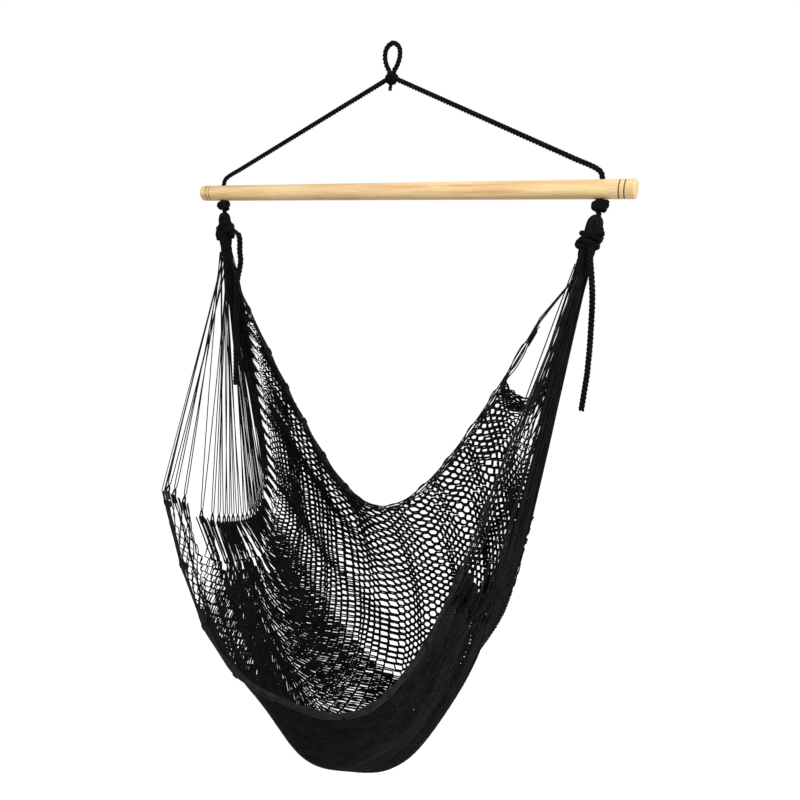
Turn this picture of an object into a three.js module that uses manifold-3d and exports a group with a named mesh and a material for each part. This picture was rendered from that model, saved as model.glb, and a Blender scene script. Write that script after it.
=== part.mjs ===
// Hammock chair: a netted cotton seat on a wooden spreader bar, hung from one rope loop.
// Millimetres, +Z up, X along the bar, -Y the open front.
// The origin is the inner top of the hanging loop, where the chair hangs.
import * as THREE from "three";
import { mergeVertices } from "three/addons/utils/BufferGeometryUtils.js";
import Module from "manifold-3d";

// Clearances
const clearance = 0.3;
const pivotClearance = 0.5;
const cutOverrun = 20;
const mergeDistance = 0.001;

// Rope
const ropeRadius = 4.6;
const ropeSides = 8;

// Hanging loop and top knot
const knotDrop = 60;
const knotRadius = 12;
const loopHalfWidth = 17;
const loopSteps = 28;
const loopShares = [
  [0.32, 0.8],
  [0.7, 0.62],
  [1, 0.34],
  [0.82, 0.06],
];
const knotTailLength = 13;
const knotTailRadius = 3.8;

// Spreader bar
const barDrop = 280;
const barLength = 1000;
const barRadius = 17.2;
const barEdgeRound = 2.5;
const grooveWidth = 2.4;
const grooveDepth = 0.9;
const grooveInsets = [18.5, 28];
const holeInset = 61;
const holeRadius = 5.6;
const barSegments = 32;

// Bridle ropes
const bridleBendRadius = 20;
const bridleBendShares = [0.5, 1];
const bridleRiseShares = [0.1, 0.35, 0.65, 1];
const bridleSteps = 60;

// Stopper knots under the bar
const stopperHeight = 24;
const stopperWidth = 32;

// Arm necks: rope, eye, hitch and whipping follow each other down one leaning axis
const neckLength = 4;
const eyeLength = 24;
const eyeRadius = 15;
const hitchLength = 38;
const hitchRadius = 20;
const whippingLength = 34;
const whippingRadius = 12.5;
const neckLeanIn = 19;
const neckLeanForward = 9;
const neckRise = 110.5;
const roundSegments = 16;
const ballSegments = 24;

// Outlines of the neck's pieces, as shares of their radius and length, from the bottom up
const eyeShares = [
  [0, 1],
  [0.62, 1],
  [0.86, 0.8],
  [1, 0.5],
  [0.9, 0.2],
  [0.45, 0],
  [0, 0],
];
const hitchShares = [
  [0, 1],
  [0.78, 0.98],
  [0.96, 0.84],
  [0.8, 0.68],
  [1, 0.5],
  [0.84, 0.33],
  [0.94, 0.17],
  [0.7, 0.02],
  [0, 0],
];
const whippingShares = [
  [0, 1],
  [0.8, 1],
  [0.9, 0.9],
  [1, 0.6],
  [1, 0.25],
  [0.9, 0],
  [0, 0],
];
const rootShares = [
  [0, 1],
  [0.6, 1],
  [1, 0],
  [0, 0],
];

// Arm strings
const stringRadius = 1.5;
const edgeStringRadius = 3;
const stringSides = 4;
const stringRootRadius = 8;
const stringRootLength = 9;
const stringStartShare = 0.33;
const stringSpreadShare = 0.5;
const stringEndGap = 1.6;
const stringEndShare = 0.008;

// Seat: shares of these three sizes place the net's end line and its middle section
const seatHalfWidth = 336;
const seatReach = 290;
const seatDrop = 1302;
const endLineShares = [
  [1.057, -0.086, 0.184],
  [1.077, 0.052, 0.292],
  [1.06, 0.155, 0.415],
  [1.012, 0.19, 0.53],
  [0.982, 0.017, 0.59],
  [0.994, -0.31, 0.585],
  [1, -0.603, 0.558],
  [1, -0.81, 0.518],
  [1.012, -0.966, 0.49],
];
const middleShares = [
  [0.069, 0.526],
  [0.455, 0.637],
  [0.71, 0.757],
  [0.78, 0.876],
  [0.57, 0.964],
  [0.105, 1],
  [-0.448, 0.964],
  [-0.81, 0.876],
  [-1, 0.768],
];
const backSagShare = 0.57;
const frontSagPower = 3;
const bottomSagPower = 2.3;
const forwardPower = 2.2;
const sideBulgeShare = 0.155;
const openSideShare = 0.6;

// Net body: a plain grid of openings stands for the open mesh of the back.
// Its bars are thicker than the close-knit front, so that both weigh the same for their area.
const frontThickness = 3.1;
const gridThickness = 6;
const gridColumns = 12;
const gridRows = 6;
const gridEndShare = 0.57;
const barShare = 0.33;
const plainRows = 7;
const foldCount = 5;
const foldDepth = 22;
const middleFoldShare = 0.35;
const foldEndPower = 8;
const slopeShare = 0.002;

// Edge cords and their ties
const backCordRadius = 6.5;
const frontCordRadius = 8;
const cordSides = 8;
const cordSteps = 65;
const backTieCount = 13;
const frontTieCount = 9;
const tieEndShare = 0.03;
const tieLength = 8;
const tieThickness = 1.8;
const tieClearance = 0.3;
const edgeSlack = 1.1;

// Free rope tails, each a short stub out of the hitch and a hanging length.
// Their points are offsets from the middle of the stopper knot on the same side.
const tailStops = {
  left: {
    stub: [
      [12, -6, -56],
      [42, -26, -52],
      [68, -42, -58],
    ],
    route: [
      [84, -45, -66],
      [88, -45, -72],
      [90, -45, -86],
      [90, -45, -104],
      [92, -44, -124],
      [89, -44, -144],
      [84, -44, -164],
      [82, -45, -188],
      [82, -45, -214],
      [82, -45, -242],
      [82, -46, -270],
      [83, -46, -300],
      [83, -46, -330],
      [84, -46, -362],
      [84, -46, -392],
      [84, -46, -410],
    ],
  },
  right: {
    stub: [
      [-12, -8, -62],
      [-6, -20, -70],
      [-2, -28, -78],
    ],
    route: [
      [-1, -30, -86],
      [0, -30, -96],
      [3, -30, -112],
      [6, -29, -132],
      [9, -29, -154],
      [11, -29, -178],
      [12, -29, -202],
      [13, -29, -226],
      [14, -30, -250],
      [14, -30, -274],
      [14, -30, -296],
      [13, -31, -316],
      [12, -31, -334],
      [11, -31, -350],
      [10, -31, -364],
    ],
  },
};
const tailSteps = 36;
const stubSteps = 8;

const cotton = new THREE.MeshStandardMaterial({ color: 0x0e0f10, roughness: 0.95, metalness: 0 });
const wood = new THREE.MeshStandardMaterial({ color: 0xe3bf86, roughness: 0.55, metalness: 0 });

const wasm = await Module();
wasm.setup();

// A closed geometry as a solid that can be joined and cut.
function solidOf(geometry) {
  const bare = geometry.clone();
  bare.deleteAttribute("normal");
  bare.deleteAttribute("uv");
  const merged = mergeVertices(bare, mergeDistance);
  const mesh = new wasm.Mesh({
    numProp: 3,
    vertProperties: merged.attributes.position.array,
    triVerts: new Uint32Array(merged.index.array),
  });
  return new wasm.Manifold(mesh);
}

function geometryOf(solid) {
  const mesh = solid.getMesh();
  const geometry = new THREE.BufferGeometry();
  geometry.setAttribute("position", new THREE.BufferAttribute(mesh.vertProperties, mesh.numProp));
  geometry.setIndex(new THREE.BufferAttribute(mesh.triVerts, 1));
  geometry.computeVertexNormals();
  return geometry;
}

function cut(geometry, ...tools) {
  return geometryOf(tools.reduce((rest, tool) => rest.subtract(solidOf(tool)), solidOf(geometry)));
}

function join(...geometries) {
  return geometryOf(geometries.map(solidOf).reduce((whole, next) => whole.add(next)));
}

function regularOutline(radius, sides) {
  const points = [];
  for (let i = 0; i < sides; i++) {
    const angle = (2 * Math.PI * i) / sides;
    points.push(new THREE.Vector2(radius * Math.cos(angle), radius * Math.sin(angle)));
  }
  return new THREE.Shape(points);
}

function tube(curve, radius, steps, sides) {
  const outline = regularOutline(radius, sides);
  return new THREE.ExtrudeGeometry(outline, { steps, bevelEnabled: false, extrudePath: curve });
}

function smoothCurve(points) {
  return new THREE.CatmullRomCurve3(points.map((p) => new THREE.Vector3(...p)), false, "centripetal");
}

// A ball, flattened or stretched by its three radii.
function ball(radiusX, radiusY, radiusZ, centre, segments) {
  const geometry = new THREE.SphereGeometry(1, segments, segments / 2);
  geometry.scale(radiusX, radiusY, radiusZ);
  geometry.translate(centre.x, centre.y, centre.z);
  return geometry;
}

// A solid of revolution about Z from (radius, height) pairs that run from the bottom up.
function turned(profile, segments) {
  const geometry = new THREE.LatheGeometry(profile.map((p) => new THREE.Vector2(...p)), segments);
  geometry.rotateX(Math.PI / 2);
  return geometry;
}

const chair = new THREE.Group();

function add(name, geometry, material) {
  const mesh = new THREE.Mesh(geometry, material);
  mesh.name = name;
  chair.add(mesh);
  return mesh;
}

// Top: the loop, the knot and its cut tail
const knotCentre = new THREE.Vector3(0, 0, -knotDrop);

function hangingLoop() {
  const legs = (side) =>
    loopShares.map(([across, down]) => [side * across * loopHalfWidth, 0, -down * knotDrop]);
  const crown = [0, 0, ropeRadius];
  const points = [[-ropeRadius, 0, -knotDrop], ...legs(-1), crown, ...legs(1).reverse()];
  points.push([ropeRadius, 0, -knotDrop]);
  const seat = knotRadius + pivotClearance;
  const loop = tube(smoothCurve(points), ropeRadius, loopSteps, ropeSides);
  return cut(loop, ball(seat, seat, seat, knotCentre, ballSegments));
}

function knotTail() {
  const top = -knotDrop;
  const bottom = top - knotRadius - knotTailLength;
  const tail = tube(smoothCurve([[0, 0, top], [0, 0, bottom]]), knotTailRadius, 1, ropeSides);
  const seat = knotRadius + clearance;
  return cut(tail, ball(seat, seat, seat, knotCentre, ballSegments));
}

add("hanging_loop", hangingLoop(), cotton);
add("top_knot", ball(knotRadius, knotRadius, knotRadius, knotCentre, ballSegments), cotton);
add("top_knot_tail", knotTail(), cotton);

// Spreader bar
const holeX = barLength / 2 - holeInset;

function barBlank() {
  const half = barLength / 2;
  const outline = [[0, -half], [barRadius - barEdgeRound, -half], [barRadius, -half + barEdgeRound]];
  const grooves = [];
  for (const inset of grooveInsets) {
    const at = -half + inset;
    grooves.push([barRadius, at - grooveWidth / 2], [barRadius - grooveDepth, at]);
    grooves.push([barRadius, at + grooveWidth / 2]);
  }
  outline.push(...grooves);
  const mirrored = outline.map(([radius, along]) => [radius, -along]).reverse();
  const blank = turned([...outline, ...mirrored], barSegments);
  blank.rotateY(Math.PI / 2);
  blank.translate(0, 0, -barDrop);
  return blank;
}

function uprightHole(x) {
  const reach = 2 * (barRadius + cutOverrun);
  const hole = new THREE.CylinderGeometry(holeRadius, holeRadius, reach, roundSegments);
  hole.rotateX(Math.PI / 2);
  hole.translate(x, 0, -barDrop);
  return hole;
}

add("spreader_bar", cut(barBlank(), uprightHole(-holeX), uprightHole(holeX)), wood);

// Bridle rope: straight down through its hole, round a bend on the bar's top, up to the knot
function bridleRope(side) {
  const top = -barDrop + barRadius;
  const rise = knotCentre.z - top;
  const angle = Math.atan2(holeX, rise);
  const points = [-barDrop - barRadius, -barDrop, top].map((height) => [side * holeX, 0, height]);
  for (const share of bridleBendShares) {
    const turn = share * angle;
    const inward = bridleBendRadius * (1 - Math.cos(turn));
    points.push([side * (holeX - inward), 0, top + bridleBendRadius * Math.sin(turn)]);
  }
  const [lastX, , lastZ] = points[points.length - 1];
  for (const share of bridleRiseShares) {
    points.push([lastX * (1 - share), 0, lastZ + (knotCentre.z - lastZ) * share]);
  }
  const seat = knotRadius + pivotClearance;
  const rope = tube(smoothCurve(points), ropeRadius, bridleSteps, ropeSides);
  const otherHalf = new THREE.BoxGeometry(barLength, barLength, barLength);
  otherHalf.translate((-side * barLength) / 2, 0, 0);
  return cut(rope, otherHalf, ball(seat, seat, seat, knotCentre, ballSegments));
}

// Stopper knot: round about X, so that the arm can swing under it
const stopperCentre = (side) =>
  new THREE.Vector3(side * holeX, 0, -barDrop - barRadius - clearance - stopperHeight / 2);

function stopperBall(side, extra) {
  const radius = stopperHeight / 2 + extra;
  return ball(stopperWidth / 2 + extra, radius, radius, stopperCentre(side), ballSegments);
}

// Arm neck pieces, each turned about the neck's own leaning axis
const neckTop = stopperHeight / 2 + pivotClearance;
const eyeTop = neckTop + neckLength + clearance;
const hitchTop = eyeTop + eyeLength + clearance;
const whippingTop = hitchTop + hitchLength + clearance;
const rootTop = whippingTop + whippingLength + clearance;

function neckDirection(side) {
  return new THREE.Vector3(-side * neckLeanIn, -neckLeanForward, -neckRise).normalize();
}

// Moves a piece made hanging down from the origin onto the neck's axis.
function ontoNeck(side, geometry) {
  const down = new THREE.Vector3(0, 0, -1);
  geometry.applyQuaternion(new THREE.Quaternion().setFromUnitVectors(down, neckDirection(side)));
  const centre = stopperCentre(side);
  geometry.translate(centre.x, centre.y, centre.z);
  return geometry;
}

// A round piece on the neck, its outline given as shares of its radius and length.
function neckPiece(side, shares, radius, top, length) {
  const profile = shares.map(([out, down]) => [out * radius, -top - down * length]);
  return ontoNeck(side, turned(profile, roundSegments));
}

function neckRope(side) {
  const length = neckTop + neckLength;
  const rope = new THREE.CylinderGeometry(ropeRadius, ropeRadius, length, roundSegments);
  rope.rotateX(Math.PI / 2);
  rope.translate(0, 0, -length / 2);
  return cut(ontoNeck(side, rope), stopperBall(side, pivotClearance));
}

// A tail's point, given as an offset from its stopper knot's middle.
function fromStopper(side, [x, y, z]) {
  const centre = stopperCentre(side);
  return [centre.x + x, centre.y + y, centre.z + z];
}

// The hitch: a barrel of three rope wraps, with the stub of its free tail
function hitchKnot(side, name) {
  const barrel = neckPiece(side, hitchShares, hitchRadius, hitchTop, hitchLength);
  const { stub, route } = tailStops[name];
  const points = [...stub, route[0]].map((p) => fromStopper(side, p));
  const stubRope = tube(smoothCurve(points), ropeRadius, stubSteps, ropeSides);
  const tailTop = new THREE.Vector3(...fromStopper(side, route[0]));
  const seat = ropeRadius + pivotClearance;
  return cut(join(barrel, stubRope), ball(seat, seat, seat, tailTop, roundSegments));
}

function ropeTail(side, name) {
  const points = tailStops[name].route.map((p) => fromStopper(side, p));
  const top = new THREE.Vector3(...points[0]);
  const rope = tube(smoothCurve(points), ropeRadius, tailSteps, ropeSides);
  return join(rope, ball(ropeRadius, ropeRadius, ropeRadius, top, roundSegments));
}

// Seat surface. Across runs from -1 at the left end line to 1 at the right.
// Down runs from 0 at the back edge to 1 at the front edge.
const barAxis = -barDrop;
const endLine = new THREE.CatmullRomCurve3(
  endLineShares.map(([x, y, z]) => new THREE.Vector3(x * seatHalfWidth, y * seatReach, -z * seatDrop)),
);
const middleLine = new THREE.CatmullRomCurve3(
  middleShares.map(([y, z]) => new THREE.Vector3(0, y * seatReach, -z * seatDrop)),
);

function seatPoint(across, down) {
  const end = endLine.getPoint(down);
  const middle = middleLine.getPoint(down);
  const out = Math.abs(across);
  const open = THREE.MathUtils.smoothstep(down, 0, openSideShare);
  const bottom = Math.sin(Math.PI * down);
  const backRise =
    (Math.hypot(out, backSagShare) - backSagShare) / (Math.hypot(1, backSagShare) - backSagShare);
  const frontRise = out ** (frontSagPower - (frontSagPower - bottomSagPower) * bottom ** 2);
  const rise = THREE.MathUtils.lerp(backRise, frontRise, open);
  const bulge = sideBulgeShare * seatReach * 4 * out ** 2 * (1 - out) * bottom;
  return new THREE.Vector3(
    across * end.x,
    THREE.MathUtils.lerp(middle.y, end.y, out ** forwardPower) + bulge,
    barAxis + THREE.MathUtils.lerp(middle.z, end.z, rise),
  );
}

function edgeDirection(across, down) {
  const ahead = seatPoint(Math.min(across + slopeShare, 1), down);
  return ahead.sub(seatPoint(Math.max(across - slopeShare, -1), down)).normalize();
}

function seatNormal(across, down) {
  const ahead = seatPoint(across, Math.min(down + slopeShare, 1));
  const alongDown = ahead.sub(seatPoint(across, Math.max(down - slopeShare, 0)));
  return edgeDirection(across, down).cross(alongDown).normalize();
}

// A tie's faceted bore clears the cord's corners.
const tieInnerRadius = (cordRadius) => (cordRadius + tieClearance) / Math.cos(Math.PI / cordSides);
const tieOuterRadius = (cordRadius) => tieInnerRadius(cordRadius) + tieThickness;

// The pleats that the strings gather: deepest towards the end lines, none on the net's outline.
function foldOffset(across, down) {
  const gathered = THREE.MathUtils.lerp(middleFoldShare, 1, across ** 2) * (1 - across ** foldEndPower);
  const wave = Math.sin(2 * Math.PI * foldCount * down) * Math.sqrt(Math.sin(Math.PI * down));
  return foldDepth * gathered * wave;
}

// Stations of bar and opening in turn, from a bar at 0 to a bar that ends at reach.
function gridStations(openings, reach) {
  const pitch = reach / (openings + barShare);
  const stations = [0];
  for (let i = 0; i < openings; i++) stations.push(pitch * (i + barShare), pitch * (i + 1));
  stations.push(reach);
  return stations;
}

const netAcross = gridStations(gridColumns, 2).map((share) => share - 1);
const netDown = gridStations(gridRows, gridEndShare);
for (let i = 1; i <= plainRows; i++) {
  netDown.push(THREE.MathUtils.lerp(gridEndShare, 1, i / plainRows));
}
const netColumns = netAcross.length - 1;
const netRows = netDown.length - 1;

// A point of the net's middle layer, its outer rows held clear of the edge cords.
function netPoint(column, row) {
  const across = netAcross[column];
  const down = netDown[row];
  const point = seatPoint(across, down);
  if (row > 0 && row < netRows) {
    return point.addScaledVector(seatNormal(across, down), foldOffset(across, down));
  }
  const inward = seatPoint(across, row === 0 ? netDown[1] : netDown[netRows - 1]).sub(point);
  const alongEdge = edgeDirection(across, down);
  inward.addScaledVector(alongEdge, -inward.dot(alongEdge)).normalize();
  const setIn = tieOuterRadius(row === 0 ? backCordRadius : frontCordRadius) + edgeSlack;
  return point.addScaledVector(inward, setIn);
}

// Whether a cell of the net is cloth: not an opening, and not past the net's outline.
function isCloth(column, row) {
  const inside = column >= 0 && column < netColumns && row >= 0 && row < netRows;
  const opening = column % 2 === 1 && row % 2 === 1 && row < 2 * gridRows;
  return inside && !opening;
}

function netBody() {
  const wide = netColumns + 1;
  const high = netRows + 1;
  const positions = [];
  for (const layer of [1, -1]) {
    for (let row = 0; row < high; row++) {
      const thickness = row <= 2 * gridRows ? gridThickness : frontThickness;
      for (let column = 0; column < wide; column++) {
        const normal = seatNormal(netAcross[column], netDown[row]);
        const point = netPoint(column, row).addScaledVector(normal, (layer * thickness) / 2);
        positions.push(point.x, point.y, point.z);
      }
    }
  }
  const front = (column, row) => row * wide + column;
  const back = (column, row) => wide * high + front(column, row);
  const faces = [];
  const quad = (a, b, c, d) => faces.push(a, b, c, a, c, d);
  const wall = (a, b) => quad(back(...a), back(...b), front(...b), front(...a));
  for (let row = 0; row < netRows; row++) {
    for (let column = 0; column < netColumns; column++) {
      if (!isCloth(column, row)) continue;
      const corners = [[column, row], [column + 1, row], [column + 1, row + 1], [column, row + 1]];
      const [topLeft, topRight, lowRight, lowLeft] = corners;
      if (!isCloth(column, row - 1)) wall(topLeft, topRight);
      if (!isCloth(column + 1, row)) wall(topRight, lowRight);
      if (!isCloth(column, row + 1)) wall(lowRight, lowLeft);
      if (!isCloth(column - 1, row)) wall(lowLeft, topLeft);
      // The right half splits its faces the other way, so that both halves weigh the same.
      if (column >= netColumns / 2) corners.push(corners.shift());
      const [a, b, c, d] = corners;
      quad(front(...a), front(...b), front(...c), front(...d));
      quad(back(...a), back(...d), back(...c), back(...b));
    }
  }
  const geometry = new THREE.BufferGeometry();
  geometry.setAttribute("position", new THREE.Float32BufferAttribute(positions, 3));
  geometry.setIndex(faces);
  geometry.computeVertexNormals();
  return geometry;
}

// The selvage along one edge of the net, from end line to end line.
class EdgeCurve extends THREE.Curve {
  constructor(down) {
    super();
    this.down = down;
  }
  getPoint(share, target = new THREE.Vector3()) {
    return target.copy(seatPoint(2 * share - 1, this.down));
  }
}

function tieRing(start, end, cordRadius) {
  const inner = tieInnerRadius(cordRadius);
  const outer = tieOuterRadius(cordRadius);
  const half = tieLength / 2;
  const profile = [[inner, -half], [outer, -half], [outer, half], [inner, half], [inner, -half]];
  const ring = turned(profile, cordSides);
  const along = end.clone().sub(start).normalize();
  ring.applyQuaternion(new THREE.Quaternion().setFromUnitVectors(new THREE.Vector3(0, 0, 1), along));
  const middle = start.clone().lerp(end, 0.5);
  ring.translate(middle.x, middle.y, middle.z);
  return ring;
}

function addEdge(name, down, cordRadius, tieCount) {
  const curve = new EdgeCurve(down);
  add(name + "_cord", tube(curve, cordRadius, cordSteps, cordSides), cotton);
  const stations = curve.getSpacedPoints(cordSteps);
  for (let i = 0; i < tieCount; i++) {
    const share = THREE.MathUtils.lerp(tieEndShare, 1 - tieEndShare, i / (tieCount - 1));
    const at = Math.min(Math.floor(share * cordSteps), cordSteps - 1);
    add(name + "_tie_" + (i + 1), tieRing(stations[at], stations[at + 1], cordRadius), cotton);
  }
}

// The fan of strings from the whipping down to the net's end line.
function armStrings(side) {
  const direction = neckDirection(side);
  const reach = rootTop + stringStartShare * stringRootLength;
  const pieces = [neckPiece(side, rootShares, stringRootRadius, rootTop, stringRootLength)];
  // The first row below the back edge has no string: it would lie against the net's corner.
  for (const row of netDown.keys()) {
    if (row === 1) continue;
    const down = netDown[row];
    const edge = row === 0 || row === netRows;
    const radius = edge ? edgeStringRadius : stringRadius;
    const start = stopperCentre(side).addScaledVector(direction, reach);
    start.y += stringSpreadShare * stringRootRadius * (1 - 2 * down);
    const end = edge ? seatPoint(side, down) : netPoint(side < 0 ? 0 : netColumns, row);
    end.addScaledVector(edgeDirection(side, down), side * (radius + stringEndGap));
    end.lerp(start, stringEndShare);
    pieces.push(tube(new THREE.LineCurve3(start, end), radius, 1, stringSides));
  }
  return join(...pieces);
}

for (const [name, side] of [["left", -1], ["right", 1]]) {
  add("bridle_rope_" + name, bridleRope(side), cotton);
  add("stopper_knot_" + name, stopperBall(side, 0), cotton);
  add("neck_rope_" + name, neckRope(side), cotton);
  add("arm_eye_" + name, neckPiece(side, eyeShares, eyeRadius, eyeTop, eyeLength), cotton);
  add("hitch_knot_" + name, hitchKnot(side, name), cotton);
  const whipping = neckPiece(side, whippingShares, whippingRadius, whippingTop, whippingLength);
  add("arm_whipping_" + name, whipping, cotton);
  add("arm_strings_" + name, armStrings(side), cotton);
  add("rope_tail_" + name, ropeTail(side, name), cotton);
}

add("net_body", netBody(), cotton);
addEdge("back_edge", 0, backCordRadius, backTieCount);
addEdge("front_edge", 1, frontCordRadius, frontTieCount);

export default chair;
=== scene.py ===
# Hammock chair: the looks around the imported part.
# Metres, +Z up, X along the bar, -Y the open front. The origin is the hanging loop's inner top.
import math

import bpy
import numpy as np
from mathutils import Matrix


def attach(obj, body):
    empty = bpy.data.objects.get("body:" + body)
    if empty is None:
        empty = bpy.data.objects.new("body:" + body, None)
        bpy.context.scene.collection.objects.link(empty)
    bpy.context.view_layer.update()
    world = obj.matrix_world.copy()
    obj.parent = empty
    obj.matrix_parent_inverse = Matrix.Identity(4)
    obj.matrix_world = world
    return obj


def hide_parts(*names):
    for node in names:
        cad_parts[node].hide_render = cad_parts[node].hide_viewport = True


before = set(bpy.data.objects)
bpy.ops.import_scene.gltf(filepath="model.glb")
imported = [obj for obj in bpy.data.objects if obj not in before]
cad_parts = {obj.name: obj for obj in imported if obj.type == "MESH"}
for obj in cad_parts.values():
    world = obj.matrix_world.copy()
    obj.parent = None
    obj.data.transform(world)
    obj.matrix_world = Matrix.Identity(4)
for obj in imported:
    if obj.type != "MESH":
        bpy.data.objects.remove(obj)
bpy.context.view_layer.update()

# Camera, at the photograph's viewing angle
CAMERA_PLACE = (0.75265, -1.30362, -0.44768)
CAMERA_TURN = 28.06
CAMERA_PITCH = -10.03
CAMERA_ROLL = 3
FOCAL_LENGTH = 31.75
SENSOR_WIDTH = 36

# Rope
ROPE_RADIUS = 0.005
LAY_LENGTH = 0.021
LAY_STRANDS = 3
STRAND_SHARE = 0.46
HELIX_SHARE = 0.6
ROPE_STEP = 0.0018
STRAND_SIDES = 7
# Steps on each turn of a coil and along each arch
COIL_STEPS = 8

# Top. The loop's shares are of its half width and of the knot's drop.
KNOT_DROP = 0.06
KNOT_RADIUS = 0.012
LOOP_HALF_WIDTH = 0.017
LOOP_SHARES = [(0.32, 0.8), (0.7, 0.62), (1, 0.34), (0.82, 0.06)]
# The top knot's two ropes: half sizes of the path, and the angle where it starts
CROWN_PATHS = [((0.0088, 0.0075, 0.0084), 0.3), ((0.0072, 0.006, 0.0088), 1.9)]
CROWN_TAIL = [(0, 0, 0), (-0.0005, -0.001, -0.009), (-0.0012, -0.002, -0.018)]
CROWN_TAIL_RADIUS = 0.0038
BRIDLE_BEND = 0.02

# Bar
BAR_AXIS = -0.28
BAR_RADIUS = 0.0172
BAR_HALF = 0.5
HOLE_X = 0.439
GROOVE_INSETS = (0.0185, 0.028)
GROOVE_HALF_WIDTH = 0.0011

# Stopper knots: a lobed path, and one rope wound round it
STOPPER_Z = -0.3095
STOPPER_HALF_SIZES = (0.0116, 0.0076, 0.0072)
STOPPER_LIFT = 0.0015
WOUND_STEPS = 18
WOUND_HALF_X = (0.0085, 0.0115)
WOUND_HALF_Y = 0.0085
WOUND_HEIGHTS = (-0.006, 0.0085)

# Arm necks: stations down the leaning axis from the stopper knot's middle
NECK_LEAN = (0.019, 0.009, 0.1105)
EYE_TOP = 0.0168
EYE_RISE = 0.0105
EYE_FOOT = 0.052
EYE_LEG_OUT = 0.007
EYE_STRINGS = 24
EYE_STRING_RADIUS = 0.0019
EYE_SPREAD = 0.0074
HITCH_TOP = 0.0411
# The rope's stations before the hitch, and how far beside the axis it runs there
HITCH_LEAD = [(0.006, 0), (0.02, 0.004), (0.034, 0.011)]
HITCH_TURNS = 2.6
HITCH_STEPS = 26
HITCH_OUT = 0.0165
TILTED_STEPS = 20
TILTED_OUT = 0.0185
NECK_STATIONS = (0.05, 0.07, 0.09, 0.105, 0.116)
NECK_STRINGS = 60
NECK_STRING_RADIUS = 0.0018
NECK_SPREAD = 0.0135
NECK_WAIST = 0.004
WHIPPING_START = 0.096
WHIPPING_LENGTH = 0.013
WHIPPING_OUT = 0.0122
WHIPPING_TURNS = 6
WHIPPING_STEPS = 56
THREAD_RADIUS = 0.0011
ARM_START = 0.1094

# Seat surface, in the same shares as the part's own solids
SEAT_HALF_WIDTH = 0.336
SEAT_REACH = 0.29
SEAT_DROP = 1.302
END_LINE_SHARES = [
    (1.057, -0.086, 0.184),
    (1.077, 0.052, 0.292),
    (1.06, 0.155, 0.415),
    (1.012, 0.19, 0.53),
    (0.982, 0.017, 0.59),
    (0.994, -0.31, 0.585),
    (1, -0.603, 0.558),
    (1, -0.81, 0.518),
    (1.012, -0.966, 0.49),
]
MIDDLE_SHARES = [
    (0, 0.069, 0.526),
    (0, 0.455, 0.637),
    (0, 0.71, 0.757),
    (0, 0.78, 0.876),
    (0, 0.57, 0.964),
    (0, 0.105, 1),
    (0, -0.448, 0.964),
    (0, -0.81, 0.876),
    (0, -1, 0.768),
]
BACK_SAG = 0.57
FRONT_SAG = 3
BOTTOM_SAG = 2.3
FORWARD_POWER = 2.2
SIDE_BULGE = 0.155
OPEN_SIDE = 0.6
FOLD_COUNT = 5
FOLD_DEPTH = 0.022
MIDDLE_FOLD = 0.35
FOLD_END_POWER = 8
# How far the low front and the right side are drawn in
CORNER_DRAW = 0.036
RIGHT_DRAW = 0.02
# The girth's length, which turns metres into shares of it
GIRTH = 1.15
# The step for slopes, in shares of the seat
SLOPE_STEP = 0.002

# Net strings. The shares make one thinner along its rungs and thicker where it crosses to the next.
STRING_RADIUS = 0.0028
LEVEL_SHARE = 0.75
TURN_SHARE = 1.2
LEFT_STRING_RADIUS = 0.0027
CLOSE_STRING_RADIUS = 0.0019
END_STRING_RADIUS = 0.0015
LACE_STRING_RADIUS = 0.0012
MASSED_STRING_RADIUS = 0.0023
BUNDLE_SPACING = 0.0027
STRING_SIDES = 5
NET_START = 0.008
NET_END = 0.994
# Open strings down to here on the girth, with their distances at even steps on the middle of the back
OPEN_END = 0.44
OPEN_PITCHES = (0.0132, 0.0124, 0.0115, 0.0104, 0.0092)
CLOSE_PITCH = 0.0035
# How many more strings start at the back selvage, from its middle to each end
SIDE_STRINGS = {"left": 58, "right": 40}
# Periods of the strings' wave on each side of the middle
LEFT_PERIODS = 16
RIGHT_PERIODS = 20
NET_PERIODS = LEFT_PERIODS + RIGHT_PERIODS
PERIOD_STATIONS = 8
NET_BANDS = 5
# How wide the net's columns are on the back, at places across
WIDTH_PLACES = (-1, -0.85, -0.65, -0.2, 0.02, 0.45, 1)
COLUMN_WIDTHS = (1, 1, 1.9, 1.8, 0.95, 0.95, 1.3)
# How far a rung is turned towards level, and how much level itself leans
RUNG_LEVEL = 0.9
RUNG_TILT = 0.16
# In front, past this share of the girth, every third string reaches the left end loops, later every fifth
LACY_START = 0.68
LACY_TURN = 3
# The first column of a string that stops short of them: at the start of that share, and at the front selvage
SHORT_COLUMNS = (14, 52)
SHORTEST_RUN = 7
# Where the net's end loops hang along an end line, from the back corner to the front one
LOOP_PLACES = [
    0.036, 0.062, 0.088, 0.113, 0.138, 0.163, 0.188, 0.213, 0.238, 0.262, 0.286, 0.31,
    0.334, 0.357, 0.38, 0.405, 0.44, 0.465, 0.488, 0.508, 0.527, 0.546, 0.565, 0.585,
    0.605, 0.625, 0.645, 0.67, 0.7, 0.755, 0.865, 0.935, 0.98,
]
RIGHT_FIRST_LOOP = 0.113
# From here to the right end line the net leaves the back selvage
RIGHT_GAP_START = 0.7

# End loops: a coil along the net, and an arch for the arm strings
LOOP_TURNS = 5
LOOP_COIL_ENDS = (-0.004, 0.014)
LOOP_COIL_RADIUS = 0.0046
LOOP_FOOT = 0.012
ARCH_FOOT_HALF = 0.003
ARCH_LOW = 0.004
ARCH_RISE = 0.012
ARCH_HALF_WIDTH = 0.0038
ARCH_RADIUS = 0.0019
FINE_RADIUS = 0.0012

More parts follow.
